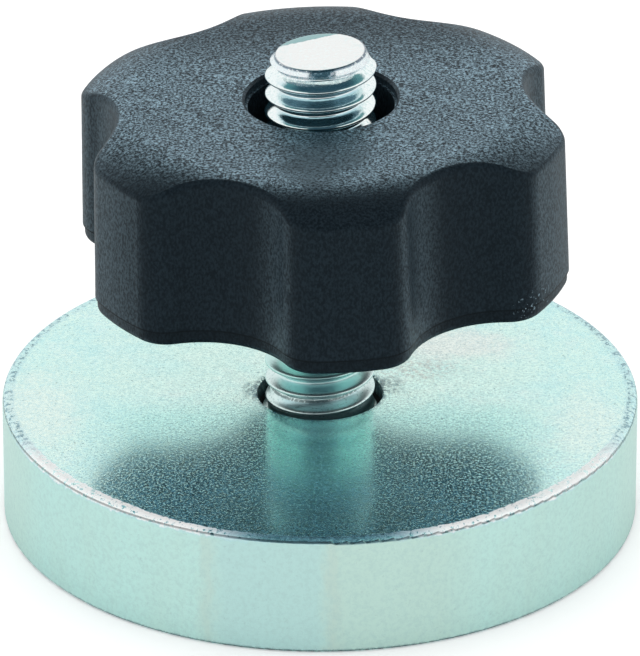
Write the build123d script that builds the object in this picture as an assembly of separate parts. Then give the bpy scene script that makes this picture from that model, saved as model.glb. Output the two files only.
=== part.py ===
from build123d import *
import os
from math import cos, radians, sin, sqrt, tan

# A round magnetic base with a threaded stud and a lobed clamping knob.
# Millimetres. The origin is the middle of the base's underside, and +Z runs up along the stud.
# The camera of the reference view looks along +Y, so -Y is the front.

# Steel pot
POT_D = 46.0
POT_H = 9.0
POT_WALL = 2.6
POT_ROOF = 2.9
POT_TOP_FILLET = 0.45
POT_FOOT_CHAMFER = 0.2
POT_INNER_FILLET = 0.6

# Stud, a 5/16-18 thread drawn at its major diameter
THREAD_D = 7.94
STUD_TOP = 36.2
STUD_TIP_D = 6.3
STUD_TIP_H = 0.95
SHANK_D = 8.3
STUD_HEAD_D = 12.0
STUD_HEAD_H = 2.4
STUD_HEAD_CHAMFER = 0.3

# Ring gap round the stud in the top of the pot's roof
RING_GAP_D = 9.1
RING_GAP_DEPTH = 1.2
RING_GAP_CHAMFER = 0.1

# Magnet and casting resin
MAGNET_RECESS = 0.2
RESIN_RECESS = 0.3
MAGNET_EDGE_GAP = 1.1
MAGNET_HOLE_D = 16.4
MAGNET_CHAMFER = 0.3
EDGE_RESIN_STOP = 0.8

# Knob, seen in plan at its parting plane
KNOB_BOTTOM = 19.5
KNOB_H = 12.94
LOBES = 6
LOBE_R = 18.1
FLUTE_DEPTH = 3.15
FLUTE_R = 6.7
LOBE_CORNER_R = 2.8
LOBE_TURN_DEG = -84.1

# Knob, seen from the side
WALL_DRAFT_DEG = 1.3
CROWN_RUN = 4.8
CROWN_DROP = 1.7
CROWN_EDGE_FILLET = 0.55
PARTING_H = 1.15
PARTING_STEP = 0.14
FOOT_FILLET = 0.5

# Knob's stepped hole for the stud
HOLE_D = 10.9
HOLE_LIP_DEPTH = 0.65
HOLE_LIP_STEP = 0.2
HOLE_EDGE_CHAMFER = 0.18

# Knob's cored underside: one pocket under each lobe, with a rib between each two
HUB_D = 18.0
CORE_WALL = 2.2
CORE_ROOF = 2.6
CORE_CORNER_R = 0.8
CORE_DRAFT_DEG = 1.0
RIB_W = 1.8

# Bush, the metal insert that carries the thread
BUSH_D = 12.6
BUSH_H = 8.4
BUSH_WAIST_D = 11.2
BUSH_WAIST_H = 2.4
BUSH_WAIST_FROM = 3.0
BUSH_CHAMFER = 0.3
BUSH_MOUTH_CHAMFER = 0.5
THREAD_CLEARANCE = 0.05
BUSH_CLEARANCE = 0.03

# How far a form that cuts or trims another runs past it, how closely two lengths have to agree
# to count as the same when edges are picked, and the most of a side that one corner may take
OVERRUN = 1.0
SAME = 1e-4
CORNER_SHARE = 0.4

ROOF_UNDER = POT_H - POT_ROOF
POT_BORE_D = POT_D - 2 * POT_WALL
RING_GAP_FLOOR = POT_H - RING_GAP_DEPTH
MAGNET_D = POT_BORE_D - 2 * MAGNET_EDGE_GAP
KNOB_TOP = KNOB_BOTTOM + KNOB_H
PARTING_Z = KNOB_BOTTOM + PARTING_H
BUSH_TOP = KNOB_BOTTOM + BUSH_H
LOBE_STEP_DEG = 360 / LOBES
CROWN_FLAT_R = LOBE_R - CROWN_RUN


def turned(points):
    """A solid of revolution about the stud's axis, from (radius, height) points."""
    outline = Polyline(*[(r, 0, z) for r, z in points], close=True)
    return revolve(make_face(outline), Axis.Z)


def on_circle(edge, radius):
    """True for a circular edge of this radius that is centred on the stud's axis."""
    if edge.geom_type != GeomType.CIRCLE:
        return False
    middle = edge.arc_center
    return abs(edge.radius - radius) < SAME and abs(middle.X) < SAME and abs(middle.Y) < SAME


def pot_housing():
    """The steel cup: a roof and a rim, with the stud's hole and a wider ring gap at its mouth."""
    r, bore_r = POT_D / 2, POT_BORE_D / 2
    shank_r, gap_r = SHANK_D / 2, RING_GAP_D / 2
    foot, mouth = POT_FOOT_CHAMFER, RING_GAP_CHAMFER
    cup = turned([
        (bore_r, 0), (r - foot, 0), (r, foot), (r, POT_H),
        (gap_r + mouth, POT_H), (gap_r, POT_H - mouth), (gap_r, RING_GAP_FLOOR),
        (shank_r, RING_GAP_FLOOR), (shank_r, ROOF_UNDER), (bore_r, ROOF_UNDER),
    ])

    def edge_at(radius, height):
        return lambda e: on_circle(e, radius) and abs(e.center().Z - height) < SAME

    cup = fillet(cup.edges().filter_by(edge_at(r, POT_H)), POT_TOP_FILLET)
    return fillet(cup.edges().filter_by(edge_at(bore_r, ROOF_UNDER)), POT_INNER_FILLET)


def stud():
    """Headed stud: the head bears on the roof from below, and the shank is pressed into the roof."""
    r, tip_r = THREAD_D / 2, STUD_TIP_D / 2
    shank_r, head_r = SHANK_D / 2, STUD_HEAD_D / 2
    head_low = ROOF_UNDER - STUD_HEAD_H
    c = STUD_HEAD_CHAMFER
    return turned([
        (0, head_low), (head_r - c, head_low), (head_r, head_low + c), (head_r, ROOF_UNDER),
        (shank_r, ROOF_UNDER), (shank_r, RING_GAP_FLOOR), (r, RING_GAP_FLOOR),
        (r, STUD_TOP - STUD_TIP_H), (tip_r, STUD_TOP), (0, STUD_TOP),
    ])


def magnet_ring():
    """Ring magnet with broken outer edges, against the underside of the roof."""
    outer_r, hole_r, c = MAGNET_D / 2, MAGNET_HOLE_D / 2, MAGNET_CHAMFER
    low, high = MAGNET_RECESS, ROOF_UNDER
    return turned([
        (hole_r, low), (outer_r - c, low), (outer_r, low + c),
        (outer_r, high - c), (outer_r - c, high), (hole_r, high),
    ])


def edge_resin():
    """Resin ring between the magnet's side and the pot's wall, which stops short of the roof."""
    outer_r, inner_r = POT_BORE_D / 2, MAGNET_D / 2
    low, high = RESIN_RECESS + MAGNET_CHAMFER, ROOF_UNDER - EDGE_RESIN_STOP
    return turned([(inner_r, low), (outer_r, low), (outer_r, high), (inner_r, high)])


def centre_resin():
    """Resin plug in the magnet's hole, cast round the stud's head."""
    r = MAGNET_HOLE_D / 2
    plug = turned([(0, RESIN_RECESS), (r, RESIN_RECESS), (r, ROOF_UNDER), (0, ROOF_UNDER)])
    return plug - stud()


def lobe_outline(grow=0.0):
    """The knob's plan: a disc with a flute between each two lobes and rounded corners.

    grow moves the whole outline outwards, or inwards where it is negative. Corners moved
    inwards by more than their radius come out sharp.
    """
    flute_at = LOBE_R - FLUTE_DEPTH + FLUTE_R
    flute = Circle(FLUTE_R - grow)
    first = LOBE_TURN_DEG + LOBE_STEP_DEG / 2
    plan = Circle(LOBE_R + grow)
    for place in PolarLocations(flute_at, LOBES, start_angle=first):
        plan -= place * flute
    corner_r = LOBE_CORNER_R + grow
    return fillet(plan.vertices(), corner_r) if corner_r > SAME else plan


def crown():
    """The turned form that gives the knob its top: flat in the middle, then falling in an arc."""
    arc_r = (CROWN_RUN**2 + CROWN_DROP**2) / (2 * CROWN_DROP)

    def on_arc(out):
        return (CROWN_FLAT_R + out, 0, KNOB_TOP - arc_r + sqrt(arc_r**2 - out**2))

    reach = min(CROWN_RUN + OVERRUN, arc_r)
    arc = ThreePointArc(on_arc(0), on_arc(reach / 2), on_arc(reach))
    low = KNOB_BOTTOM - OVERRUN
    rest = Polyline(
        arc @ 1, (CROWN_FLAT_R + reach, 0, low), (0, 0, low), (0, 0, KNOB_TOP), on_arc(0)
    )
    return revolve(make_face([arc, rest]), Axis.Z)


def knob_blank():
    """The lobed block: drafted walls above the parting plane, a rounded foot below it."""
    inward = KNOB_H * tan(radians(WALL_DRAFT_DEG))
    low_plan = Pos(0, 0, PARTING_Z) * lobe_outline()
    high_plan = Pos(0, 0, PARTING_Z + KNOB_H) * lobe_outline(-inward)
    upper = loft([low_plan, high_plan], ruled=True) & crown()
    rim = upper.edges().filter_by(
        lambda e: e.bounding_box().min.Z > PARTING_Z + SAME and not on_circle(e, CROWN_FLAT_R)
    )
    upper = fillet(rim, CROWN_EDGE_FILLET)
    foot = Pos(0, 0, KNOB_BOTTOM) * extrude(lobe_outline(-PARTING_STEP), amount=PARTING_H)
    foot = fillet(foot.edges().group_by(Axis.Z)[0], FOOT_FILLET)
    return upper + foot


def pocket_plan(inset=0.0):
    """A cored space in plan, for a lobe on +X: between the hub, the two ribs and the outer wall.

    inset draws all its sides in, which gives the smaller plan at the roof of the drafted pocket.
    """
    half = radians(LOBE_STEP_DEG / 2)
    far = 2 * LOBE_R
    rib_side = RIB_W / 2 + inset
    wedge = make_face(Polyline(
        (0, 0), (far * cos(half), -far * sin(half)), (far * cos(half), far * sin(half)), close=True
    ))
    plan = Pos(rib_side / sin(half), 0) * wedge
    plan = plan & (Rot(0, 0, -LOBE_TURN_DEG) * lobe_outline(-CORE_WALL - inset))
    plan = plan - Circle(HUB_D / 2 + inset)
    beside_ribs = plan.vertices().filter_by(
        lambda v: abs(v.X * sin(half) - abs(v.Y) * cos(half) - rib_side) < SAME
    )
    shortest = min(side.length for side in plan.edges().filter_by(GeomType.LINE))
    return fillet(beside_ribs, min(CORE_CORNER_R, CORNER_SHARE * shortest))


def core_pocket():
    """One cored space with drafted sides, open at the knob's underside."""
    depth = KNOB_H - CROWN_DROP - CORE_ROOF
    inset = depth * tan(radians(CORE_DRAFT_DEG))
    mouth = Pos(0, 0, KNOB_BOTTOM) * pocket_plan()
    roof = Pos(0, 0, KNOB_BOTTOM + depth) * pocket_plan(inset)
    return loft([mouth, roof], ruled=True)


def bush_form(grow=0.0):
    """The bush's outer form, or the seat that the knob is moulded to, which is wider by grow."""
    r, waist_r, c = BUSH_D / 2 + grow, BUSH_WAIST_D / 2 + grow, BUSH_CHAMFER
    waist_low = KNOB_BOTTOM + BUSH_WAIST_FROM + grow
    waist_high = KNOB_BOTTOM + BUSH_WAIST_FROM + BUSH_WAIST_H - grow
    top = BUSH_TOP + grow
    return turned([
        (0, KNOB_BOTTOM), (r, KNOB_BOTTOM), (r, waist_low), (waist_r, waist_low),
        (waist_r, waist_high), (r, waist_high), (r, top - c), (r - c, top), (0, top),
    ])


def knob():
    """The moulded knob: lobed block, stepped hole for the stud, bush seat and cored underside."""
    body = knob_blank()
    lip_r = HOLE_D / 2
    hole_r = lip_r - HOLE_LIP_STEP
    lip_z = KNOB_TOP - HOLE_LIP_DEPTH
    mouth_r = lip_r + HOLE_EDGE_CHAMFER
    body -= turned([
        (0, KNOB_BOTTOM), (hole_r, KNOB_BOTTOM), (hole_r, lip_z), (lip_r, lip_z),
        (lip_r, KNOB_TOP - HOLE_EDGE_CHAMFER), (mouth_r, KNOB_TOP),
        (mouth_r, KNOB_TOP + OVERRUN), (0, KNOB_TOP + OVERRUN),
    ])
    body -= bush_form(BUSH_CLEARANCE)
    pocket = core_pocket()
    for i in range(LOBES):
        body -= Rot(0, 0, LOBE_TURN_DEG + i * LOBE_STEP_DEG) * pocket
    return body


def bush():
    """Threaded insert with a waist that locks it in the moulding, drawn with a plain bore."""
    bore_r = THREAD_D / 2 + THREAD_CLEARANCE
    c = BUSH_MOUTH_CHAMFER
    bore = turned([
        (0, KNOB_BOTTOM), (bore_r + c, KNOB_BOTTOM), (bore_r, KNOB_BOTTOM + c),
        (bore_r, BUSH_TOP - c), (bore_r + c, BUSH_TOP), (0, BUSH_TOP),
    ])
    return bush_form() - bore


NODES = {
    "pot_housing": pot_housing,
    "stud": stud,
    "magnet_ring": magnet_ring,
    "edge_resin": edge_resin,
    "centre_resin": centre_resin,
    "knob": knob,
    "bush": bush,
}

os.makedirs("parts", exist_ok=True)
for name, make in NODES.items():
    shape = make()
    export_step(shape, f"parts/{name}.step")
    print(name, "volume", round(shape.volume, 1))
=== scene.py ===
# %% [markdown]
# A magnetic base: a flat round pot of zinc plated steel with a magnet inside, a threaded stud in
# its middle, and a black moulded knob with six lobes that screws down the stud to clamp something.
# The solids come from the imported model, in metres, with +Z up the stud and -Y towards the viewer.
# This lesson dresses them: it aims a camera, sets a stage, cuts a real thread, and mixes finishes.

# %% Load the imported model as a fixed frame
from math import asin, cos, degrees, pi, radians, sin, tan

import bmesh
import bpy
from mathutils import Matrix, Vector


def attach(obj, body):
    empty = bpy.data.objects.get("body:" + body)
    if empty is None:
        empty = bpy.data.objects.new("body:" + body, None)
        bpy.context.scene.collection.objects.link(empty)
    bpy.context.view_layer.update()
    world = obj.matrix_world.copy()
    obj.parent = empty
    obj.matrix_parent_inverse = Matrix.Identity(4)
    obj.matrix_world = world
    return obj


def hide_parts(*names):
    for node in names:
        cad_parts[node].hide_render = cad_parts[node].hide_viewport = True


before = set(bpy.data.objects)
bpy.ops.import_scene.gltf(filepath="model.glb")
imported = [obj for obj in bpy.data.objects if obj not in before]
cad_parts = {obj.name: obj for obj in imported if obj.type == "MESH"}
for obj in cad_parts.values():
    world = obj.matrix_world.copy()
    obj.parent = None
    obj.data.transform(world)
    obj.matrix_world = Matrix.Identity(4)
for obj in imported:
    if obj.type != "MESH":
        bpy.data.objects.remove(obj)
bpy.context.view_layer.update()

# %% [markdown]
# Everything below is written in millimetres, because that is how such a part is measured, and
# turned into metres where it reaches Blender.

# %% Units
MM = 0.001


def mm(x, y, z):
    """A point given in millimetres, in Blender's metres."""
    return Vector((x, y, z)) * MM


# %% [markdown]
# The photograph was taken with a long lens from in front and above, so that circles look like
# nearly perfect ellipses. The base's two rims and the knob's outline gave the distance, the height
# and the focal length. The eye sits on a circle round the origin, looks at it, and then tips up
# a little, which is what puts the object where it is in the picture.

# %% Camera
PHOTO_LONG_SIDE = 656
FOCAL_PX = 8000
SENSOR_MM = 36
EYE_FAR = 583.7
EYE_UP_DEG = 27.66
TIP_UP_DEG = 1.24
CLIP_M = (0.05, 20)


def make_camera():
    """A long lens that sees the object as the photograph does."""
    data = bpy.data.cameras.new("viewpoint")
    data.sensor_width = SENSOR_MM
    data.lens = FOCAL_PX / PHOTO_LONG_SIDE * SENSOR_MM
    data.clip_start, data.clip_end = CLIP_M
    camera = bpy.data.objects.new("viewpoint", data)
    bpy.context.scene.collection.objects.link(camera)
    up = radians(EYE_UP_DEG)
    camera.location = mm(0, -EYE_FAR * cos(up), EYE_FAR * sin(up))
    camera.rotation_euler = (radians(90 - EYE_UP_DEG + TIP_UP_DEG), 0, 0)
    bpy.context.scene.camera = camera
    return camera


viewpoint = make_camera()
print("lens", round(viewpoint.data.lens, 1), "mm, eye at", list(viewpoint.location))

# %% [markdown]
# Shader maths reads best as Python. Value wraps an output socket, so that 1 - mask or noise * 0.3
# adds the Math node it stands for. Nodes is one node tree: its node method adds any node, with its
# settings first and then its sockets, each a number, a colour or another Value.

# %% A socket that takes part in sums, and a tree that adds nodes
PATCH_TEAR = 1.2
PATCH_EDGE = (0.25, 1.0)


class Value:
    """An output socket that can be used in an expression."""

    def __init__(self, tree, socket):
        self.tree = tree
        self.socket = socket

    def __add__(self, other):
        return self.tree.math("ADD", self, other)

    def __radd__(self, other):
        return self.tree.math("ADD", other, self)

    def __sub__(self, other):
        return self.tree.math("SUBTRACT", self, other)

    def __rsub__(self, other):
        return self.tree.math("SUBTRACT", other, self)

    def __mul__(self, other):
        return self.tree.math("MULTIPLY", self, other)

    def __rmul__(self, other):
        return self.tree.math("MULTIPLY", other, self)

    def __truediv__(self, other):
        return self.tree.math("DIVIDE", self, other)

    def __rtruediv__(self, other):
        return self.tree.math("DIVIDE", other, self)

    def __neg__(self):
        return self.tree.math("MULTIPLY", -1.0, self)

    def __abs__(self):
        return self.tree.math("ABSOLUTE", self)


class Nodes:
    """A node tree that is built by calls."""

    def __init__(self, owner):
        owner.use_nodes = True
        self.tree = owner.node_tree
        self.tree.nodes.clear()

    def node(self, kind, settings=None, sockets=None, out=0):
        """Adds a node of this kind and returns the output named or numbered out."""
        made = self.tree.nodes.new(kind)
        for name, setting in (settings or {}).items():
            setattr(made, name, setting)
        for name, value in (sockets or {}).items():
            if isinstance(value, Value):
                self.tree.links.new(value.socket, made.inputs[name])
            else:
                made.inputs[name].default_value = value
        return Value(self, made.outputs[out]) if len(made.outputs) else made

    def math(self, operation, first, second=0.0):
        return self.node("ShaderNodeMath", {"operation": operation}, {0: first, 1: second})

    def rise(self, value, low, high):
        """0 below low, 1 above high, and a smooth rise between them."""
        return self.node(
            "ShaderNodeMapRange", {"interpolation_type": "SMOOTHSTEP"},
            {"Value": value, "From Min": low, "From Max": high},
        )

    def fall(self, value, low, high):
        """1 below low, 0 above high, and a smooth fall between them."""
        return 1 - self.rise(value, low, high)

    def mix(self, share, first, second):
        """A colour between first and second."""
        return self.node(
            "ShaderNodeMix", {"data_type": "RGBA"},
            {"Factor": share, 6: first, 7: second}, out=2,
        )

    def vector(self, operation, first, second=(0, 0, 0)):
        return self.node("ShaderNodeVectorMath", {"operation": operation}, {0: first, 1: second})

    def split(self, vector):
        """The three parts of a vector."""
        parts = self.node("ShaderNodeSeparateXYZ", {}, {"Vector": vector}).socket.node
        return [Value(self, socket) for socket in parts.outputs]

    def place_mm(self):
        """The point on the piece, in the frame's own millimetres."""
        spot = self.node("ShaderNodeTexCoord", out="Object")
        return self.vector("MULTIPLY", spot, (1 / MM, 1 / MM, 1 / MM))

    def noise(self, vector, size, detail=2.0, rough=0.5, away=None):
        """Smooth noise from 0 to 1 with lumps about size across, read away from the place itself."""
        if away:
            vector = self.vector("ADD", vector, away)
        return self.node(
            "ShaderNodeTexNoise", {},
            {"Vector": vector, "Scale": 1 / size, "Detail": detail, "Roughness": rough},
        )

    def patch(self, vector, at, size, ragged):
        """1 round the point at, falling to 0 at the three half sizes, with an edge that noise tears."""
        inside = self.vector("DIVIDE", self.vector("SUBTRACT", vector, at), size)
        far = self.node("ShaderNodeVectorMath", {"operation": "LENGTH"}, {0: inside}, out="Value")
        return self.fall(far + (ragged - 0.5) * PATCH_TEAR, *PATCH_EDGE)

    def bump(self, height, depth):
        """A normal that is tilted as if the surface rose by height, 0 to 1, times depth in millimetres."""
        return self.node(
            "ShaderNodeBump", {}, {"Strength": 1.0, "Distance": depth * MM, "Height": height}
        )


def finish(name):
    """A new material and its empty node tree."""
    material = bpy.data.materials.new(name)
    return material, Nodes(material)


def close_surface(tree, shader):
    tree.node("ShaderNodeOutputMaterial", {}, {"Surface": shader})


print("node helpers ready")

# %% [markdown]
# A product shot like this one is made in a white tent: pale paper underneath and behind, white
# cloth at the sides, and an opening overhead where the room is dark. Bright metal is a mirror, so
# the tent is what gives the plating its white and the thread its dark teal bands. The sky here is
# white up to about halfway and dark above, and a little lower in front, where the camera stands.
# Rays that only carry soft light get an even white, so that colours come out as they are written.

# %% The tent
TENT_WHITE = (1.0, 1.0, 1.0, 1)
TENT_TEAL = (0.12, 0.27, 0.28, 1)
TENT_DARK = (0.025, 0.055, 0.075, 1)
TENT_EDGE = (0.69, 0.73)
TENT_FADE = (0.76, 0.93)
FRONT_EDGE = (0.20, 0.34)
FRONT_WIDTH = (0.76, 0.88)
SOFT_WHITE = (0.95, 0.95, 0.95, 1)
NEVER_ZERO = 1e-6


def make_tent():
    """The world: white to the eye, a tent with a dark top in reflections, even light otherwise."""
    world = bpy.data.worlds.new("tent")
    bpy.context.scene.world = world
    tree = Nodes(world)
    across, along, up = tree.split(tree.node("ShaderNodeTexCoord", out="Generated"))
    flat = tree.math("SQRT", across * across + along * along + NEVER_ZERO)
    front = tree.rise(up, *FRONT_EDGE) * tree.rise(-along / flat, *FRONT_WIDTH)
    room = tree.mix(tree.rise(up, *TENT_FADE), TENT_TEAL, TENT_DARK)
    tent = tree.mix(tree.rise(up, *TENT_EDGE), TENT_WHITE, room)
    tent = tree.mix(front, tent, TENT_DARK)
    path = tree.node("ShaderNodeLightPath").socket.node.outputs
    seen = Value(tree, path["Is Camera Ray"])
    mirrored = Value(tree, path["Is Glossy Ray"])
    colour = tree.mix(seen, tree.mix(mirrored, SOFT_WHITE, tent), TENT_WHITE)
    light = tree.node("ShaderNodeBackground", {}, {"Color": colour, "Strength": 1.0})
    tree.node("ShaderNodeOutputWorld", {}, {"Surface": light})
    return world


make_tent()
print("tent white up to", round(degrees(asin(TENT_EDGE[0]))), "degrees")

# %% [markdown]
# The paper is one large pale sheet. It keeps the object's soft shadow, and it is what the upright
# sides of the base and the knob reflect, because the eye looks down on them. It lies a hair below
# the base's foot, because two faces in one plane would flicker where the base is seen from below.

# %% Paper
PAPER_HALF_M = 3.0
PAPER_DROP = 0.02
PAPER_SEEN = (0.97, 0.97, 0.97, 1)
PAPER_MIRRORED = (0.90, 0.92, 0.91, 1)
PAPER_LIFT = (0.20, 0.20, 0.20, 1)
NO_LIFT = (0, 0, 0, 1)


def make_paper():
    """A flat sheet just under the base."""
    data = bpy.data.meshes.new("paper")
    corners = ((-1, -1), (1, -1), (1, 1), (-1, 1))
    data.from_pydata(
        [(x * PAPER_HALF_M, y * PAPER_HALF_M, -PAPER_DROP * MM) for x, y in corners],
        [], [(0, 1, 2, 3)],
    )
    paper = bpy.data.objects.new("paper", data)
    bpy.context.scene.collection.objects.link(paper)
    material, tree = finish("paper")
    seen = Value(tree, tree.node("ShaderNodeLightPath").socket.node.outputs["Is Camera Ray"])
    sheet = tree.node("ShaderNodeBsdfPrincipled", {}, {
        "Base Color": tree.mix(seen, PAPER_MIRRORED, PAPER_SEEN),
        "Roughness": 1.0,
        "Specular IOR Level": 0.0,
        "Emission Color": tree.mix(seen, NO_LIFT, PAPER_LIFT),
        "Emission Strength": 1.0,
    })
    close_surface(tree, sheet)
    data.materials.append(material)
    return paper


make_paper()
print("paper", 2 * PAPER_HALF_M, "m wide")

# %% [markdown]
# A soft lamp overhead adds the little direct light that gives the paper its shadow and the knob's
# top its glints. It is hidden from mirrors, which would show it as a hard square.

# %% Lamp
LAMP_AT = (-120, 120, 700)
LAMP_SIZE = 700
LAMP_WATTS = 0.6


def make_lamp(name, at, size, watts):
    """A square soft lamp that faces the origin."""
    data = bpy.data.lights.new(name, "AREA")
    data.shape = "SQUARE"
    data.size = size * MM
    data.energy = watts
    lamp = bpy.data.objects.new(name, data)
    lamp.location = mm(*at)
    lamp.rotation_mode = "QUATERNION"
    lamp.rotation_quaternion = lamp.location.to_track_quat("Z", "Y")
    lamp.visible_glossy = False
    bpy.context.scene.collection.objects.link(lamp)
    return lamp


make_lamp("overhead", LAMP_AT, LAMP_SIZE, LAMP_WATTS)
print("lamp of", LAMP_WATTS, "W")

# %% [markdown]
# The stud is a rolled screw. The solid model has it as a plain bar, so here the bar gets its
# thread. A thread is a profile that climbs while it turns: a grid is laid round the bar whose rows
# rise by one pitch in each turn, and its radius follows the profile, with rounded crests and
# roots. The rows crowd together where the profile bends. The groove runs out towards both ends.

# %% Thread profile
PITCH = 25.4 / 18
THREAD_R = 7.94 / 2
ROOT_R = 3.13
SHALLOW_R = 3.66
FOOT_R = 3.78
CREST_HALF = 0.09
FLANK_SLOPE = tan(radians(60))
CREST_ROUND = 0.12
ROOT_ROUND = 0.22
THREAD_TURN_DEG = -70.7
STUD_LOW, STUD_TOP = 7.8, 36.2
RUN_OUT_LOW = (8.8, 10.3)
RUN_OUT_HIGH = (35.2, 35.9)


def soft_min(a, b, width):
    """The smaller of two numbers, with the corner between them rounded."""
    share = max(width - abs(a - b), 0) / width
    return min(a, b) - share * share * width / 4


def smooth(share):
    """0 below 0, 1 above 1, and a smooth rise between them."""
    share = min(max(share, 0), 1)
    return share * share * (3 - 2 * share)


def root_radius(z):
    """The radius at the bottom of the groove at this height."""
    low, high = RUN_OUT_LOW
    foot = FOOT_R + (ROOT_R - FOOT_R) * smooth((z - low) / (high - low))
    low, high = RUN_OUT_HIGH
    end = SHALLOW_R + (ROOT_R - SHALLOW_R) * smooth((high - z) / (high - low))
    return max(foot, end)


def thread_radius(offset, z):
    """The thread's radius at this share of a pitch from the middle of a crest, -0.5 to 0.5."""
    flank = THREAD_R - (abs(offset) * PITCH - CREST_HALF) * FLANK_SLOPE
    capped = soft_min(flank, THREAD_R, CREST_ROUND)
    return -soft_min(-capped, -root_radius(z), ROOT_ROUND)


stud_middle = (STUD_LOW + STUD_TOP) / 2
print("thread depth", round(THREAD_R - thread_radius(0.5, stud_middle), 3), "mm")

# %% Thread grid
ROUND_STEPS = 112
PITCH_STEPS = 22
CROWDING = 0.6
SPARE_TURNS = 3
WELD = 1e-5


def thread_grid():
    """A closed threaded bar that runs past both ends of the stud, as a bmesh in millimetres."""
    bm = bmesh.new()
    low = STUD_LOW - SPARE_TURNS * PITCH
    turns = int((STUD_TOP - low) / PITCH + SPARE_TURNS)
    steps = [k / PITCH_STEPS for k in range(turns * PITCH_STEPS)]
    climbs = [step - CROWDING * sin(4 * pi * step) / (4 * pi) for step in steps]
    columns = []
    for i in range(ROUND_STEPS + 1):
        turn = i / ROUND_STEPS
        angle = 2 * pi * turn + radians(THREAD_TURN_DEG)
        column = []
        for climb in climbs:
            z = low + (turn + climb) * PITCH
            r = thread_radius((climb + 0.5) % 1 - 0.5, z)
            column.append(bm.verts.new((r * cos(angle), r * sin(angle), z)))
        columns.append(column)
    for left, right in zip(columns, columns[1:]):
        for k in range(len(climbs) - 1):
            bm.faces.new((left[k], right[k], right[k + 1], left[k + 1]))
    bmesh.ops.remove_doubles(bm, verts=bm.verts, dist=WELD)
    for height, up in ((low + 2 * PITCH, -1), (STUD_TOP + PITCH, 1)):
        cut = bmesh.ops.bisect_plane(
            bm, geom=bm.verts[:] + bm.edges[:] + bm.faces[:], plane_co=(0, 0, height),
            plane_no=(0, 0, up), clear_outer=True,
        )
        ring = [e for e in cut["geom_cut"] if isinstance(e, bmesh.types.BMEdge)]
        bmesh.ops.contextual_create(bm, geom=ring)
    bmesh.ops.recalc_face_normals(bm, faces=bm.faces)
    return bm


print("thread rows a pitch", PITCH_STEPS, "columns a turn", ROUND_STEPS)

# %% [markdown]
# The bar was cropped and not turned to length, so its end isn't square: it slopes down to the
# left, and one side of it was dragged down by the shears. The blank that trims the thread has that
# end, with a steep worn chamfer below it. The head is inside the pot, where it bears on the roof.
# The stud also leans a very little to the right, by less than the knob's bush leaves free.

# %% Stud
END_R = 3.26
END_ROUND = 0.14
END_CORNER_DEG = (66, 50, 34, 17, 0)
END_RING, END_RINGS = 0.3, 9
CHAMFER_R, CHAMFER_H = 3.66, 1.0
SHOULDER_HIGH, SHOULDER_LOW = 1.3, 1.5
END_SLOPE = tan(radians(3.6))
SHEAR_WAY = (-0.356, 0.934)
SHEAR_FROM = 2.2
SHEAR_SLOPE = tan(radians(3))
STUD_LEAN = tan(radians(0.08))
SHANK_R = 8.3 / 2
HEAD_R = 12.0 / 2
HEAD_LOW, HEAD_HIGH = 3.7, 6.1
HEAD_CHAMFER = 0.3
BLANK_R = THREAD_R + 0.4
PIECE_SHARP_DEG = 30
STUD_SHARP_DEG = 35


def lathe(points, steps=ROUND_STEPS):
    """A closed turned bmesh, from (radius, height) points that start and end on the axis."""
    bm = bmesh.new()
    angles = [2 * pi * i / steps for i in range(steps)]
    rings = []
    for r, z in points:
        if r == 0:
            rings.append([bm.verts.new((0, 0, z))] * steps)
        else:
            rings.append([bm.verts.new((r * cos(a), r * sin(a), z)) for a in angles])
    for low, high in zip(rings, rings[1:]):
        for i in range(steps):
            j = (i + 1) % steps
            corners = list(dict.fromkeys((low[i], low[j], high[j], high[i])))
            bm.faces.new(corners)
    bmesh.ops.recalc_face_normals(bm, faces=bm.faces)
    return bm


def piece(name, bm):
    """A mesh object from a bmesh in millimetres, smooth except across sharp edges."""
    bmesh.ops.scale(bm, vec=(MM, MM, MM), verts=bm.verts)
    data = bpy.data.meshes.new(name)
    bm.to_mesh(data)
    bm.free()
    data.shade_smooth()
    data.set_sharp_from_angle(angle=radians(PIECE_SHARP_DEG))
    made = bpy.data.objects.new(name, data)
    bpy.context.scene.collection.objects.link(made)
    return made


def combine(target, tool, operation):
    """Applies a boolean of tool on target, and removes tool."""
    modifier = target.modifiers.new("cut", "BOOLEAN")
    modifier.operation = operation
    modifier.solver = "EXACT"
    modifier.object = tool
    graph = bpy.context.evaluated_depsgraph_get()
    data = bpy.data.meshes.new_from_object(target.evaluated_get(graph))
    target.modifiers.clear()
    target.data = data
    bpy.data.objects.remove(tool)


def end_drop(x, y):
    """How far the cropped end lies below the top of the stud at this place."""
    beyond = max(x * SHEAR_WAY[0] + y * SHEAR_WAY[1] - SHEAR_FROM, 0)
    return (END_R - x) * END_SLOPE + beyond * SHEAR_SLOPE


def stud_blank():
    """The unthreaded bar with its cropped end and worn chamfer."""
    side = [
        (0, HEAD_LOW), (BLANK_R, HEAD_LOW), (BLANK_R, STUD_TOP - SHOULDER_LOW),
        (THREAD_R, STUD_TOP - SHOULDER_HIGH), (CHAMFER_R, STUD_TOP - CHAMFER_H),
    ]
    corner = [
        (END_R - END_ROUND * (1 - sin(a)), STUD_TOP - END_ROUND * (1 - cos(a)))
        for a in (radians(d) for d in END_CORNER_DEG)
    ]
    face = [(END_R - END_ROUND - END_RING * k, STUD_TOP) for k in range(1, END_RINGS + 1)]
    bm = lathe(side + corner + face + [(0, STUD_TOP)])
    for vert in bm.verts:
        x, y, z = vert.co
        share = smooth((z - STUD_TOP + CHAMFER_H) / (CHAMFER_H - END_ROUND))
        vert.co.z = z - share * end_drop(x, y)
    return bm


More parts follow.
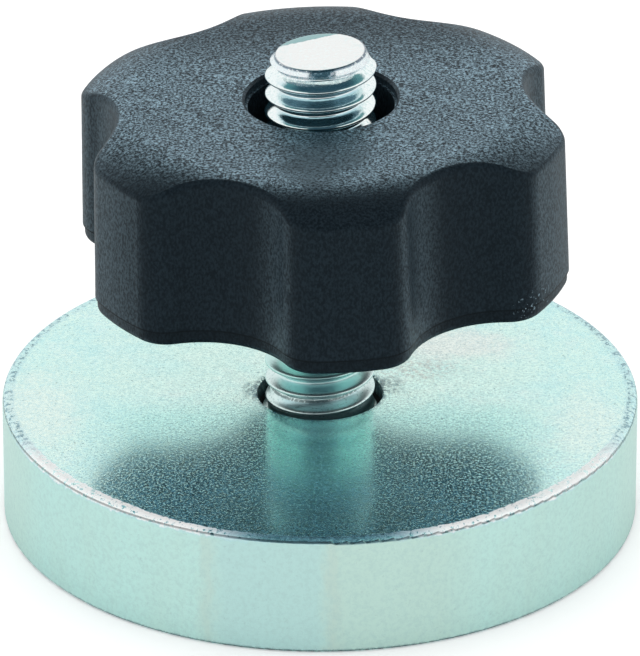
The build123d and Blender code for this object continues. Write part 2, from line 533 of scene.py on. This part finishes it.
def stud_head():
    """The shank below the thread and the head on it, which is inside the pot."""
    c = HEAD_CHAMFER
    return lathe([
        (0, HEAD_LOW), (HEAD_R - c, HEAD_LOW), (HEAD_R, HEAD_LOW + c), (HEAD_R, HEAD_HIGH),
        (SHANK_R, HEAD_HIGH), (SHANK_R, STUD_LOW), (0, STUD_LOW),
    ])


def make_stud():
    """The threaded stud with its cropped end, and its head inside the pot."""
    stud = piece("stud_threaded", thread_grid())
    combine(stud, piece("blank", stud_blank()), "INTERSECT")
    combine(stud, piece("head", stud_head()), "UNION")
    for vert in stud.data.vertices:
        vert.co.x += (vert.co.z - STUD_LOW * MM) * STUD_LEAN
    stud.data.set_sharp_from_angle(angle=radians(STUD_SHARP_DEG))
    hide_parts("stud")
    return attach(stud, "base")


stud = make_stud()
print("stud faces", len(stud.data.polygons))

# %% [markdown]
# The pot is turned steel with a zinc plate that has been dipped to a pale blue-green. Its side is
# mint, with a bluish stretch in front between warm upright streaks. Noise that is stretched along
# Z makes such streaks, and more noise tears their edges, so that none of them is a drawn line.

# %% Colour of the pot's side
ZINC_DIM = (0.50, 0.68, 0.63, 1)
WALL_MINT = (0.655, 0.92, 0.84, 1)
WALL_BLUE = (0.60, 0.82, 0.77, 1)
WALL_WARM = (0.66, 0.83, 0.72, 1)
WALL_PALE = (0.70, 0.88, 0.76, 1)
WALL_STREAK = (0.66, 0.76, 0.66, 1)
DRIFT_STRETCH, WALL_DRIFT = (1, 1, 0.20), (7.0, 5.0, 0.6)
TEAR_STRETCH, WALL_TEAR, TEAR_BY = (1, 1, 0.4), (1.0, 4.0, 0.65), 2.2
WALL_ENDS = (19.0, 22.5)
WALL_FRONT = (6.0, 14.0)
BLUE_FROM, BLUE_TO = (-8.1, -6.5), (-0.5, 1.5)
WARM_TO = (7.0, 13.0)
STREAKS_AT, STREAK_HALF = (-7.9, 0.9), 1.0


def pot_wall_colour(tree, spot, x, y, fine):
    """The side's colour: mint, with a bluish stretch and a few warm upright streaks in front."""
    drift = tree.noise(tree.vector("MULTIPLY", spot, DRIFT_STRETCH), *WALL_DRIFT)
    tear = (tree.noise(tree.vector("MULTIPLY", spot, TEAR_STRETCH), *WALL_TEAR) - 0.5) * TEAR_BY
    colour = tree.mix(tree.rise(drift, 0.35, 0.75) * 0.6, WALL_MINT, WALL_WARM)
    colour = tree.mix(tree.rise(abs(x), *WALL_ENDS) * 0.7, colour, WALL_PALE)
    front = tree.rise(-y, *WALL_FRONT)
    torn = x + tear
    blue = tree.rise(torn, *BLUE_FROM) * tree.fall(torn, *BLUE_TO)
    warm = tree.rise(torn, *BLUE_TO) * tree.fall(torn, *WARM_TO)
    colour = tree.mix(blue * front * 0.85, colour, WALL_BLUE)
    colour = tree.mix(warm * front * 0.85, colour, WALL_WARM)
    for at in STREAKS_AT:
        near = tree.fall(abs(torn - at), 0.0, STREAK_HALF)
        colour = tree.mix(near * front * 0.55, colour, WALL_STREAK)
    return tree.mix(tree.rise(fine, 0.40, 0.68) * 0.40, colour, ZINC_DIM)


print("side warm at", STREAKS_AT, "mm")

# %% [markdown]
# The top drifts between three mints, with cream and rose patches where it mirrors warmer cloth and
# a deeper teal in front of the stud. Years of use show as rusty smears behind the stud and grime
# beside its mouth. A darker ragged ring lies round the mouth, and a dark line just inside the rim,
# which noise breaks into short dashes.

# %% Colour of the pot's top
ZINC = (0.735, 0.965, 0.865, 1)
ZINC_TEAL = (0.56, 0.93, 0.85, 1)
ZINC_PALE = (0.82, 0.985, 0.905, 1)
ZINC_COOL = (0.66, 0.945, 0.88, 1)
CREAM = (0.84, 0.965, 0.87, 1)
ROSE = (0.84, 0.90, 0.84, 1)
RUST = (0.52, 0.46, 0.42, 1)
# A dark colour for dirt and dark marks, and for painted shade at the pot's foot and in the last groove.
GRIME_AND_PAINTED_SHADE = (0.12, 0.17, 0.17, 1)
POT_R, POT_TOP = 23.0, 9.0
EDGE_IN = 0.60
GAP_R = 4.55
TOP_DRIFT, TOP_PALE, TOP_TEAR = (5.0, 8.0, 0.68), (2.5, 8.0, 0.7, (40, 0, 0)), (1.6, 6.0, 0.7)
TEAL_FROM, TEAL_SIDE, TEAL_TEAR = (0.0, 5.0), (12.0, 18.0), 3.0
TINTED = (
    (CREAM, 0.9, (-20.5, -3.5, POT_TOP), (4.5, 9.0, 4)),
    (CREAM, 0.7, (19.5, -6.0, POT_TOP), (4.0, 9.0, 4)),
    (ROSE, 0.9, (9.5, 7.5, POT_TOP), (7.5, 4.0, 4)),
)
SMEAR_AT, SMEAR_SIZE = (7.0, 3.6, POT_TOP), (5.0, 2.8, 4)
DIRT_LEFT_AT, DIRT_LEFT_SIZE = (-4.7, 0.3, POT_TOP), (1.2, 2.2, 3)
DIRT_RIGHT_AT, DIRT_RIGHT_SIZE = (5.0, 0.9, POT_TOP), (1.4, 2.0, 3)
MOUTH_RING = (GAP_R + 0.05, GAP_R + 0.50)
SEAM = (POT_R - EDGE_IN - 0.28, POT_R - EDGE_IN - 0.05)
SEAM_SIDE, SEAM_MORE = (13.0, 20.0), 0.06


def pot_top_colour(tree, spot, out, x, y, fine):
    """The top's colour: drifting mint, cream and rose patches, grime at the mouth, a dark seam."""
    drift = tree.rise(tree.noise(spot, *TOP_DRIFT), 0.36, 0.66)
    pale = tree.rise(tree.noise(spot, *TOP_PALE), 0.46, 0.72)
    colour = tree.mix(drift, ZINC, ZINC_COOL)
    colour = tree.mix(pale * 0.6, colour, ZINC_PALE)
    torn = tree.noise(spot, *TOP_TEAR)
    front = tree.rise(-y + TEAL_TEAR * (torn - 0.5), *TEAL_FROM)
    colour = tree.mix(front * tree.fall(abs(x), *TEAL_SIDE) * 0.9, colour, ZINC_TEAL)
    for tint, share, at, size in TINTED:
        colour = tree.mix(tree.patch(spot, at, size, torn) * share, colour, tint)
    smear = tree.patch(spot, SMEAR_AT, SMEAR_SIZE, torn) * tree.rise(fine, 0.40, 0.70)
    colour = tree.mix(smear * 0.8, colour, RUST)
    left = tree.patch(spot, DIRT_LEFT_AT, DIRT_LEFT_SIZE, torn)
    right = tree.patch(spot, DIRT_RIGHT_AT, DIRT_RIGHT_SIZE, torn)
    dirt = tree.math("MAXIMUM", left, right) * tree.rise(fine, 0.36, 0.62)
    colour = tree.mix(dirt * 0.9, colour, GRIME_AND_PAINTED_SHADE)
    ring = tree.fall(out, *MOUTH_RING) * tree.rise(fine, 0.38, 0.55)
    colour = tree.mix(ring, colour, GRIME_AND_PAINTED_SHADE)
    side = tree.rise(abs(x), *SEAM_SIDE)
    dashes = tree.rise(fine, 0.57 - SEAM_MORE * side, 0.64 - SEAM_MORE * side)
    colour = tree.mix(tree.rise(out, *SEAM) * dashes, colour, GRIME_AND_PAINTED_SHADE)
    return tree.mix(tree.rise(fine, 0.50, 0.75) * 0.30, colour, ZINC_DIM)


print("top of", len(TINTED), "tinted patches")

# %% [markdown]
# Two layers make the plate's look: a metal that mirrors the tent, and a thin bluish haze from the
# dip, which is all that is left to see where the plate mirrors something black. The haze lies in
# patches. The flat is smooth with sparse fine pits. A pit's sides mirror another part of the room,
# so that it is a bright speck where the flat is dark and a dark speck where the flat is bright.
# The normal also tilts outwards by about a degree, as on a slight dome, which puts the mirror image
# of the knob where the photograph has it. Where the rim is scuffed, the haze is white and thick, most
# on both sides of its front, where this white also paints the rim's highlight.

# %% Zinc plate on the pot
HAZE = (0.20, 0.64, 0.86, 1)
HAZE_TOP, HAZE_WALL, HAZE_SCUFF_AND_HIGHLIGHT = 0.17, 0.12, 0.86
HAZE_PATCHES, PATCHY_LOW, PATCHY_SPAN = (0.19, 3.0, 0.7, (0, 0, 50)), 0.15, 1.7
THIN_FROM, THIN_SIDE, THIN_BY = (15.0, 19.0), (5.0, 10.0), 0.35
SCUFF_AND_HIGHLIGHT_WHITE = (1.0, 1.0, 1.0, 1)
HOLE_PAINTED_SHADE = (0.01, 0.014, 0.014, 1)
FINE_NOISE = (0.34, 4.0, 0.7)
SPECK_NOISE = (0.26, 4.0, 0.7, (0, 30, 0))
PIT_STRETCH, PIT_NOISE, PIT_DEPTH = (1, 0.75, 1), (0.17, 3.0, 0.7), 0.010
DOME_SLOPE = 0.018
TOP_ROUGH, WALL_ROUGHER, GAP_ROUGHER = 0.155, 0.185, 0.6
WALL_FROM = (POT_R - 0.10, POT_R - 0.01)
GAP_EDGE = (GAP_R - 0.03, GAP_R + 0.02)
FOOT_PAINTED_SHADE = (0.10, 0.35)
RAGGED_NOISE, RAGGED_BY = (0.6, 4.0, 0.7), 1.1
RIM_FROM, RIM_LOW = (POT_R - EDGE_IN, POT_R - EDGE_IN + 0.12), (8.40, 8.75)
RIM_SIDE, RIM_WIDER = (9.0, 15.0), 0.35
WORN_AND_LIT_SIDE, WORN_AND_LIT_FRONT = (3.0, 9.5), (6.0, 11.0)


def rim_scuffs_and_highlight(tree, spot, out, x, y, z, fine):
    """Where the rim is scuffed white: ragged, and most on both sides of its front, a painted highlight
    there.
    """
    ragged = (tree.noise(spot, *RAGGED_NOISE) - 0.5) * RAGGED_BY
    wider = RIM_WIDER * tree.rise(abs(x), *RIM_SIDE)
    rim = tree.rise(out + 0.5 * ragged + wider, *RIM_FROM) * tree.rise(z + ragged, *RIM_LOW)
    # Painted highlight: the white is weighted to both sides of the rim's front, where its highlight falls.
    worn = tree.rise(abs(x), *WORN_AND_LIT_SIDE) * (0.15 + 0.85 * tree.rise(-y, *WORN_AND_LIT_FRONT))
    return rim * (0.12 + 0.88 * worn) * tree.rise(fine, 0.34, 0.46)


def plated_steel():
    """Semi-gloss zinc plate with drifting colour, sparse pits, dark specks, a scuffed rim with a painted
    highlight, and painted shade at the foot and in the hole.
    """
    material, tree = finish("zinc_plate")
    spot = tree.place_mm()
    x, y, z = tree.split(spot)
    out = tree.math("SQRT", x * x + y * y)
    fine = tree.noise(spot, *FINE_NOISE)
    wall = tree.rise(out, *WALL_FROM)
    inside = tree.fall(out, *GAP_EDGE)
    top_colour = pot_top_colour(tree, spot, out, x, y, fine)
    colour = tree.mix(wall, top_colour, pot_wall_colour(tree, spot, x, y, fine))
    specks = tree.rise(tree.noise(spot, *SPECK_NOISE), 0.625, 0.68)
    colour = tree.mix(specks * (0.70 - 0.55 * wall), colour, GRIME_AND_PAINTED_SHADE)
    # Painted shade: the side darkens towards its foot, where it stands on the paper.
    foot = tree.fall(z, *FOOT_PAINTED_SHADE) * tree.rise(fine, 0.38, 0.55)
    colour = tree.mix(foot * 0.8, colour, GRIME_AND_PAINTED_SHADE)
    # Painted shade: inside the hole round the stud the plate is painted black and dull, as it lies in
    # shade.
    colour = tree.mix(inside, colour, HOLE_PAINTED_SHADE)
    pits = tree.noise(tree.vector("MULTIPLY", spot, PIT_STRETCH), *PIT_NOISE)
    height = tree.rise(pits, 0.50, 0.76) * PIT_DEPTH - out * DOME_SLOPE * (1 - wall)
    normal = tree.bump(height, 1.0)
    metal = tree.node("ShaderNodeBsdfPrincipled", {}, {
        "Base Color": colour,
        "Metallic": 1 - inside,
        "Roughness": TOP_ROUGH + WALL_ROUGHER * wall + GAP_ROUGHER * inside,
        "Normal": normal,
    })
    scuffs = rim_scuffs_and_highlight(tree, spot, out, x, y, z, fine)
    haze = tree.node("ShaderNodeBsdfPrincipled", {}, {
        "Base Color": tree.mix(scuffs, HAZE, SCUFF_AND_HIGHLIGHT_WHITE),
        "Roughness": 1.0,
        "Specular IOR Level": 0.0,
        "Normal": normal,
    })
    patchy = PATCHY_LOW + PATCHY_SPAN * tree.rise(tree.noise(spot, *HAZE_PATCHES), 0.34, 0.66)
    thin = THIN_BY * tree.rise(-y, *THIN_FROM) * tree.fall(abs(x), *THIN_SIDE)
    share = HAZE_TOP * patchy * (1 - thin) * (1 - wall) + HAZE_WALL * wall
    share = (share + (HAZE_SCUFF_AND_HIGHLIGHT - share) * scuffs) * (1 - inside)
    close_surface(tree, tree.node("ShaderNodeMixShader", {}, {"Fac": share, 1: metal, 2: haze}))
    return material


def dress(made, material):
    """Gives a solid or a piece this one material."""
    made.data.materials.clear()
    made.data.materials.append(material)


zinc_plate = plated_steel()
dress(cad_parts["pot_housing"], zinc_plate)
print("pot dressed in", zinc_plate.name)

# %% [markdown]
# A rolled thread comes out of its dies polished, and the plate on it is brighter than on the pot.
# Its upper flanks mirror the dark room overhead, and in front they are also painted teal, a painted
# reflection of that room. Near the end the bar is scuffed, and the back-left side that the shears
# dragged is painted dark, a painted shade. Below the knob the metal is darkened by painted shade, and
# the root of the last groove has painted shade with a few dirt specks. climb is the share of a pitch
# above the nearest crest below, which tells the flanks and the grooves apart.

# %% Marks on the thread
WORN_ZINC = (0.72, 0.86, 0.85, 1)
SHEARED_SIDE_SHADE = (0.20, 0.40, 0.40, 1)
END_FACE = (0.90, 0.90, 0.88, 1)
END_EDGE_DARK = (0.10, 0.13, 0.18, 1)
FACE_FROM = (STUD_TOP - 0.10, STUD_TOP - 0.03)
DULL_FROM, DULL_NOISE = (1.9, 3.1), (0.45, 4.0, 0.7)
END_EDGE_OUT, END_EDGE_FROM = (END_R - 0.16, END_R - 0.04), (STUD_TOP - 0.22, STUD_TOP - 0.10)
SHEARED_FROM, SHEARED_UP = (SHEAR_FROM - 0.05, SHEAR_FROM + 0.10), (34.9, 35.3)
FLANK_PAINTED_REFLECTION = (0.42, 0.66, 0.74, 1)
FLANK_FROM, FLANK_TO, FLANK_SIDE = (0.08, 0.16), (0.40, 0.48), (2.2, 3.3)
FLANK_TOP = (STUD_TOP - 1.3, STUD_TOP - 1.0)
# Painted shade: below the knob the stud's colour is darkened, most in the middle and near the knob.
PAINTED_SHADE_ZINC = (0.60, 0.86, 0.82, 1)
PAINTED_DEEP_SHADE = (0.20, 0.24, 0.28, 1)
UNDER_KNOB_LOW, UNDER_KNOB_HIGH = (10.9, 11.6), (17.5, 21.5)
LEAST_PAINTED_SHADE = 0.45
DEEP_FROM, DEEP_SIDE, DEEP_FOOT = (13.0, 17.5), (0.6, 2.0), 0.45
GROOVE_HALF, LAST_GROOVE_FROM, LAST_GROOVE_TO = (0.03, 0.10), (8.6, 9.0), (10.4, 11.0)
WHOLE_TURNS = 10


def end_marks(tree, colour, spot, x, y, z, out, face, edge, fine):
    """The colour with the pale end face, a dark ragged line round its edge and painted shade on the
    sheared side.
    """
    colour = tree.mix(face * tree.rise(fine, 0.30, 0.50), colour, END_FACE)
    dull = face * tree.rise(out, *DULL_FROM) * tree.rise(tree.noise(spot, *DULL_NOISE), 0.47, 0.60)
    colour = tree.mix(dull * 0.45, colour, WORN_ZINC)
    # A dark ragged line runs round the edge of the end face.
    colour = tree.mix(edge * tree.rise(fine, 0.33, 0.46) * 0.9, colour, END_EDGE_DARK)
    along = x * SHEAR_WAY[0] + y * SHEAR_WAY[1]
    # Painted shade: the back-left of the chamfer, on the sheared side, is painted dark where it turns from
    # the light.
    sheared_shade = tree.rise(along + (fine - 0.5) * 0.5, *SHEARED_FROM) * tree.rise(z, *SHEARED_UP)
    return tree.mix(sheared_shade * 0.9, colour, SHEARED_SIDE_SHADE)


def thread_marks(tree, colour, x, y, z, level, fine):
    """The colour with a painted teal reflection on the upper flanks, and painted shade under the knob and
    in the last groove.
    """
    turn = (tree.math("ARCTAN2", y, x) - radians(THREAD_TURN_DEG)) / (2 * pi)
    climb = tree.math("FRACT", (z - STUD_LOW) / PITCH - turn + WHOLE_TURNS)
    # Painted reflection: the front upper flanks are painted teal for the dark room that they mirror.
    flank = tree.rise(climb, *FLANK_FROM) * tree.fall(climb, *FLANK_TO)
    flank = flank * tree.fall(abs(x), *FLANK_SIDE) * tree.fall(level, *FLANK_TOP)
    colour = tree.mix(flank * 0.85, colour, FLANK_PAINTED_REFLECTION)
    # Painted shade under the knob: the darker colour is mixed in by height.
    painted_shade = (LEAST_PAINTED_SHADE + (1 - LEAST_PAINTED_SHADE) * tree.rise(z, *UNDER_KNOB_LOW)) * tree.fall(z, *UNDER_KNOB_HIGH)
    middle = DEEP_FOOT - DEEP_FOOT * tree.rise(abs(x), *DEEP_SIDE)
    deep_shade = tree.math("MAXIMUM", tree.rise(z, *DEEP_FROM), middle)
    colour = tree.mix(painted_shade, colour, tree.mix(deep_shade, PAINTED_SHADE_ZINC, PAINTED_DEEP_SHADE))
    # Painted shade in the root of the last groove, with a few dirt specks round it.
    groove = tree.fall(abs(climb - 0.5), *GROOVE_HALF) * tree.rise(fine, 0.36, 0.50)
    dirt = tree.math("MAXIMUM", groove, tree.rise(fine, 0.56, 0.66) * 0.5)
    dirt = dirt * tree.rise(z, *LAST_GROOVE_FROM) * tree.fall(z, *LAST_GROOVE_TO)
    return tree.mix(dirt * 0.85, colour, GRIME_AND_PAINTED_SHADE)


# The printed heights bound the painted shade under the knob.
print("oil from", UNDER_KNOB_LOW[0], "to", UNDER_KNOB_HIGH[1], "mm")

# %% [markdown]
# The finish itself is a smooth metal with very fine scratches, and over it the same two-layer haze
# as on the pot, white where the chamfer is scuffed. A clean patch in front keeps the dark glint.

# %% Bright zinc on the thread
BRIGHT_ZINC = (0.90, 0.96, 0.95, 1)
WHITE_HAZE = (0.95, 0.95, 1.0, 1)
SCRATCH_NOISE, SCRATCH_DEPTH = (0.22, 3.0, 0.65), 0.006
THREAD_ROUGH, SCRATCH_ROUGH, UNDER_KNOB_ROUGH = 0.055, 0.06, 0.23
CHAMFER_FROM = (STUD_TOP - 0.98, STUD_TOP - 0.80)
CLEAN_AT, CLEAN_SIZE = (0.1, -3.4, 35.4), (1.3, 1.5, 0.9)
SCUFF_LUMP, SCUFF_MORE = 1.0, 0.04
THREAD_HAZE, CHAMFER_HAZE = 0.04, 0.56


def bright_plate():
    """Glossy zinc with fine scratches, a pale end face and a scuffed chamfer."""
    material, tree = finish("bright_zinc")
    spot = tree.place_mm()
    x, y, z = tree.split(spot)
    out = tree.math("SQRT", x * x + y * y)
    fine = tree.noise(spot, *SCRATCH_NOISE)
    level = z + (END_R - x) * END_SLOPE
    face = tree.rise(level, *FACE_FROM)
    edge = tree.rise(out, *END_EDGE_OUT) * tree.rise(level, *END_EDGE_FROM)
    colour = tree.mix(tree.rise(fine, 0.45, 0.70), BRIGHT_ZINC, WORN_ZINC)
    colour = end_marks(tree, colour, spot, x, y, z, out, face, edge, fine)
    colour = thread_marks(tree, colour, x, y, z, level, fine)
    normal = tree.bump(fine, SCRATCH_DEPTH)
    metal = tree.node("ShaderNodeBsdfPrincipled", {}, {
        "Base Color": colour,
        "Metallic": 1.0,
        "Roughness": THREAD_ROUGH + SCRATCH_ROUGH * fine + UNDER_KNOB_ROUGH * tree.fall(z, *UNDER_KNOB_HIGH),
        "Normal": normal,
    })
    chamfer = tree.rise(level, *CHAMFER_FROM) * (1 - face) * (1 - edge)
    clean = tree.patch(spot, CLEAN_AT, CLEAN_SIZE, fine)
    lumpy = fine + SCUFF_MORE * tree.noise(spot, SCUFF_LUMP)
    scuffs = chamfer * (1 - clean) * tree.rise(lumpy, 0.42, 0.58)
    haze = tree.node("ShaderNodeBsdfPrincipled", {}, {
        "Base Color": tree.mix(scuffs, HAZE, WHITE_HAZE),
        "Roughness": 1.0,
        "Specular IOR Level": 0.0,
        "Normal": normal,
    })
    share = THREAD_HAZE + CHAMFER_HAZE * scuffs
    close_surface(tree, tree.node("ShaderNodeMixShader", {}, {"Fac": share, 1: metal, 2: haze}))
    return material


bright_zinc = bright_plate()
dress(stud, bright_zinc)
print("stud dressed in", bright_zinc.name)

# %% [markdown]
# In the photograph the knob doesn't sit quite square. It hangs on a loose thread, so it leans a
# little down towards the front and the left. The lean belongs to this one knob and not to the
# design, so the solid stays square, and a leaning copy of its mesh stands in for it here.

# %% Leaning knob
LEAN_SIDE_DEG = 1.12
LEAN_BACK_DEG = 1.32
KNOB_LOW, KNOB_TOP = 19.5, 32.44
LEAN_SHIFT = mm(0.07, 0, 0.01)


def make_knob():
    """The knob's mesh, leaned about the middle of its top."""
    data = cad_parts["knob"].data.copy()
    data.name = "knob_leaning"
    back = Matrix.Rotation(radians(LEAN_BACK_DEG), 4, "X")
    lean = back @ Matrix.Rotation(radians(-LEAN_SIDE_DEG), 4, "Y")
    about = Matrix.Translation(mm(0, 0, KNOB_TOP))
    data.transform(Matrix.Translation(LEAN_SHIFT) @ about @ lean @ about.inverted())
    made = bpy.data.objects.new("knob_leaning", data)
    bpy.context.scene.collection.objects.link(made)
    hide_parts("knob")
    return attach(made, "handle")


knob = make_knob()
print("knob leans by", LEAN_SIDE_DEG, "and", LEAN_BACK_DEG, "degrees")

# %% [markdown]
# The knob's mould was spark eroded, so its skin is a fine sand. Seen along the top, each tiny
# facet either catches the tent or doesn't, which reads as blue-grey speckle on black. The walls
# face the eye and stay dark. So a black plastic carries a bluish gloss whose share grows as the
# surface turns away from the eye, and on the top the sand breaks that share up. The two halves of
# the mould met near the foot, which leaves a thin dark line all round, and one lobe has been
# knocked at its lower corner, which leaves a few bright burrs.

# %% Sanded plastic
PLASTIC = (0.0115, 0.0200, 0.0275, 1)
PLASTIC_DARK = (0.0045, 0.0085, 0.0125, 1)
PLASTIC_BLACK = (0.0020, 0.0035, 0.0050, 1)
PLASTIC_TINT = (0.70, 0.90, 1.0, 1)
PLASTIC_ROUGH, PLASTIC_SPECULAR = 0.42, 0.10
GLOSS = (0.60, 0.85, 1.0, 1)
GLOSS_ROUGH = 0.36
TOP_SHARE, WALL_SHARE = 0.19, 0.060
SAND_DEPTH = 0.028
SAND_NOISE, CLOUD_NOISE = (0.19, 4.0, 0.75), (2.2, 5.0, 0.6)
BRUSH_STRETCH, BRUSH_NOISE = (1, 1, 0.6), (0.16, 2.0, 0.6)
TOP_FROM, AWAY_FROM, BACK_FROM = (0.74, 0.97), (0.25, 0.58), (4.0, 12.0)
CALM_AT, CALM_SIZE = (-0.3, -10.0, 32.4), (4.6, 5.6, 4)
GLINT_SHARP, CALM_LESS = 17.0, 10.0
PARTING_UP, PARTING_WAVE = 1.08, 0.10
PARTING_FROM, PARTING_TO = (PARTING_UP - 0.04, PARTING_UP + 0.06), (PARTING_UP + 0.10, PARTING_UP + 0.24)
BURRS_AT, BURRS_SIZE = (15.4, -9.4, 20.9), (2.2, 3.4, 1.7)
BURR_NOISE, BURR_SHARE = (0.24, 2.0, 0.6, (0, 0, 70)), 0.30


def sanded_plastic():
    """Blue-black plastic with a fine sandy skin that glints where it is seen along its surface."""
    material, tree = finish("sanded_plastic")
    spot = tree.place_mm()
    x, y, z = tree.split(spot)
    up = tree.split(tree.node("ShaderNodeTexCoord", out="Normal"))[2]
    top = tree.rise(up, *TOP_FROM)
    sand = tree.noise(spot, *SAND_NOISE)
    brushed = tree.noise(tree.vector("MULTIPLY", spot, BRUSH_STRETCH), *BRUSH_NOISE)
    clouds = tree.noise(spot, *CLOUD_NOISE)
    normal = tree.bump(sand * top + brushed * (1 - top), SAND_DEPTH)
    leaned = x * tan(radians(LEAN_SIDE_DEG)) + y * tan(radians(LEAN_BACK_DEG))
    above = z - leaned - KNOB_LOW + PARTING_WAVE * (clouds - 0.5)
    foot = tree.fall(above, *PARTING_FROM)
    line = (1 - foot) * tree.fall(above, *PARTING_TO)
    grain = tree.mix(tree.rise(brushed, 0.36, 0.66), PLASTIC_DARK, PLASTIC)
    grain = tree.mix(tree.math("MAXIMUM", line * 0.95, foot * 0.35), grain, PLASTIC_BLACK)
    plastic = tree.node("ShaderNodeBsdfPrincipled", {}, {
        "Base Color": grain,
        "Roughness": PLASTIC_ROUGH,
        "Specular IOR Level": PLASTIC_SPECULAR,
        "Specular Tint": PLASTIC_TINT,
        "Normal": normal,
    })
    gloss = tree.node("ShaderNodeBsdfGlossy", {}, {
        "Color": GLOSS, "Roughness": GLOSS_ROUGH, "Normal": normal,
    })
    turned_away = tree.node("ShaderNodeLayerWeight", {}, {"Blend": 0.5}, out="Facing")
    calm = tree.patch(spot, CALM_AT, CALM_SIZE, clouds)
    glint = 1 + (sand - 0.5) * (GLINT_SHARP - CALM_LESS * calm)
    glint = tree.math("MAXIMUM", glint, 0.0) * (0.65 + 0.7 * clouds)
    glint = glint * (1 - 0.62 * tree.rise(y, *BACK_FROM)) * (1 - 0.35 * calm)
    grit = 0.42 + 1.06 * tree.rise(brushed, 0.36, 0.64)
    grit = grit * (1 - 0.9 * line) * (1 - 0.35 * foot)
    share = top * glint * TOP_SHARE + (1 - top) * grit * WALL_SHARE
    share = share * tree.rise(turned_away, *AWAY_FROM)
    knocked = tree.patch(spot, BURRS_AT, BURRS_SIZE, clouds)
    burrs = tree.rise(tree.noise(spot, *BURR_NOISE), 0.62, 0.68)
    share = share * (1 - 0.5 * knocked) + knocked * burrs * BURR_SHARE
    close_surface(tree, tree.node("ShaderNodeMixShader", {}, {"Fac": share, 1: plastic, 2: gloss}))
    return material


dress(knob, sanded_plastic())
print("knob dressed, parting line", PARTING_UP, "mm up")

# %% [markdown]
# Underneath, a hard ferrite ring sits in casting resin. Both are dark and dull, the resin with a
# slight shine. The bush in the knob is turned steel, painted dark as shade, because no bright ring
# shows in the mirror image of the knob's underside. One short finish serves all of them: a colour
# and its darker shade in lumps, which also lift the surface a little.

# %% Finishes that show from below
FERRITE = {"colour": (0.06, 0.06, 0.065, 1), "rough": 0.55, "metal": 0.0, "lump": 0.4, "height": 0.015}
RESIN = {"colour": (0.02, 0.02, 0.022, 1), "rough": 0.25, "metal": 0.0, "lump": 1.5, "height": 0.04}
# Painted shade: the bush's steel is given a dark colour because it sits in shade inside the knob.
SHADE_DARKENED_STEEL = {"colour": (0.07, 0.085, 0.09, 1), "rough": 0.45, "metal": 1.0, "lump": 0.5, "height": 0.01}
LUMP_DETAIL = (3.0, 0.6)
SHADE = 0.6
ROUGHER = 0.15


def plain_finish(name, colour, rough, metal, lump, height):
    """A finish with mottled colour and a fine bump of this lump size and height in millimetres."""
    material, tree = finish(name)
    spot = tree.place_mm()
    lumps = tree.noise(spot, lump, *LUMP_DETAIL)
    darker = tuple(SHADE * part for part in colour[:3]) + (1,)
    shader = tree.node("ShaderNodeBsdfPrincipled", {}, {
        "Base Color": tree.mix(lumps, colour, darker),
        "Metallic": metal,
        "Roughness": rough + ROUGHER * lumps,
        "Normal": tree.bump(lumps, height),
    })
    close_surface(tree, shader)
    return material


dress(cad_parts["magnet_ring"], plain_finish("ferrite", **FERRITE))
resin = plain_finish("resin", **RESIN)
dress(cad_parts["edge_resin"], resin)
dress(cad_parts["centre_resin"], resin)
dress(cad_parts["bush"], plain_finish("turned_steel", **SHADE_DARKENED_STEEL))
print("hidden pieces dressed")

# %% [markdown]
# The view transform stays at Standard, so that a colour comes out as it is written.

# %% Finish
bpy.context.scene.view_settings.view_transform = "Standard"
